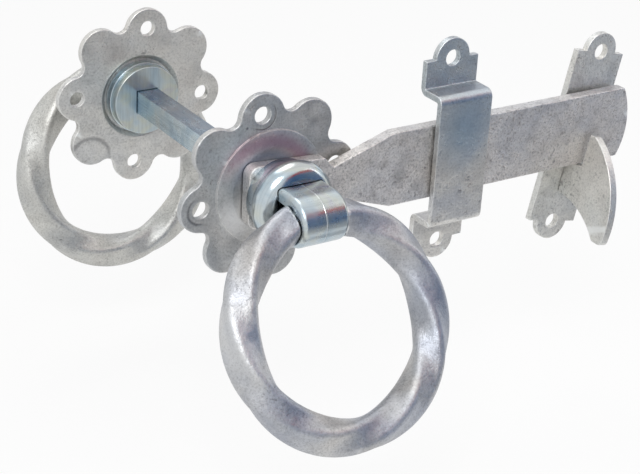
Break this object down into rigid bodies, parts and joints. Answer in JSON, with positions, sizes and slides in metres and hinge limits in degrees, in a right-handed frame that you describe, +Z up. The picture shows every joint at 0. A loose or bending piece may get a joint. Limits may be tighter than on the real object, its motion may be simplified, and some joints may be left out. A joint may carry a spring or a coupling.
{
  "type": "ring gate latch",
  "caption": "Gate latch with a twisted ring handle and flower-shaped rose on each side of the gate; turning a ring lifts a flat bar through its staple and clear of a hooked catch.",
  "frame": {"origin": "on the spindle's axis, on the front face of the gate, where the front rose sits", "axes": "+X along the latch bar towards the post, +Y through the gate to the rear handle, +Z up"},
  "size_m": [0.2319, 0.2318, 0.1398],
  "materials": {
    "galvanised_steel": "hot-dip galvanised, matt and mottled",
    "bright_zinc": "bright zinc plate, lightly polished"
  },
  "bodies": {
    "fixings": {"front_rose": "galvanised_steel", "rear_rose": "galvanised_steel", "guide_staple": "galvanised_steel", "catch_plate": "galvanised_steel", "catch_hook": "galvanised_steel"},
    "spindle_and_bar": {"spindle": "bright_zinc", "latch_bar": "galvanised_steel", "front_bush": "bright_zinc", "rear_bush": "bright_zinc", "front_retaining_washer": "bright_zinc", "rear_retaining_washer": "bright_zinc", "front_collar": "bright_zinc", "rear_collar": "bright_zinc", "front_eye": "bright_zinc", "rear_eye": "bright_zinc", "front_eye_rivet": "bright_zinc", "rear_eye_rivet": "bright_zinc"},
    "front_ring": {"front_ring": "galvanised_steel"},
    "rear_ring": {"rear_ring": "galvanised_steel"}
  },
  "joints": [
    {"name": "spindle_turn", "type": "hinge", "parent": "fixings", "child": "spindle_and_bar", "pos_m": [0, 0, 0], "axis": [0, -1, 0], "range_deg": [0, 5.5]},
    {"name": "front_ring_swing", "type": "hinge", "parent": "spindle_and_bar", "child": "front_ring", "pos_m": [0, -0.03518, 0], "axis": [-1, 0, 0], "range_deg": [-48, 150]},
    {"name": "rear_ring_swing", "type": "hinge", "parent": "spindle_and_bar", "child": "rear_ring", "pos_m": [0, 0.13658, 0], "axis": [1, 0, 0], "range_deg": [-6, 188]}
  ]
}
